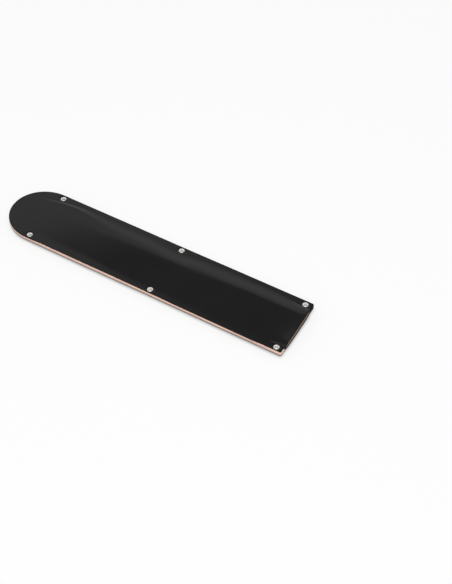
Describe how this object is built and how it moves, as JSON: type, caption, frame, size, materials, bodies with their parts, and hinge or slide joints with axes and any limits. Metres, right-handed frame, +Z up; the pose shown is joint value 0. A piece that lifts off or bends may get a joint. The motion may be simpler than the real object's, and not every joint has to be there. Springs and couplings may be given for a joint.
{
  "type": "knife blade guard",
  "caption": "Black leather knife blade guard: two moulded sheets with a rounded nose and an open mouth, riveted along both long edges.",
  "frame": {"origin": "centre of the footprint, on the surface that the guard lies on", "axes": "+X along the guard from the closed nose to the open mouth, +Z up through the front panel, +Y to the left edge"},
  "size_m": [0.335, 0.0688, 0.0094],
  "materials": {
    "leather": "smooth black grain, satin, with raw tan cut edges and a raw tan inside",
    "nickel_post": "nickel plate, lightly worn",
    "nickel_cap": "nickel plate, lightly worn"
  },
  "bodies": {
    "root": {"front_panel": "leather", "back_panel": "leather", "rivet_post_nose_left": "nickel_post", "rivet_post_nose_right": "nickel_post", "rivet_post_middle_left": "nickel_post", "rivet_post_middle_right": "nickel_post", "rivet_post_mouth_left": "nickel_post", "rivet_post_mouth_right": "nickel_post", "rivet_cap_nose_left": "nickel_cap", "rivet_cap_nose_right": "nickel_cap", "rivet_cap_middle_left": "nickel_cap", "rivet_cap_middle_right": "nickel_cap", "rivet_cap_mouth_left": "nickel_cap", "rivet_cap_mouth_right": "nickel_cap"}
  },
  "joints": []
}
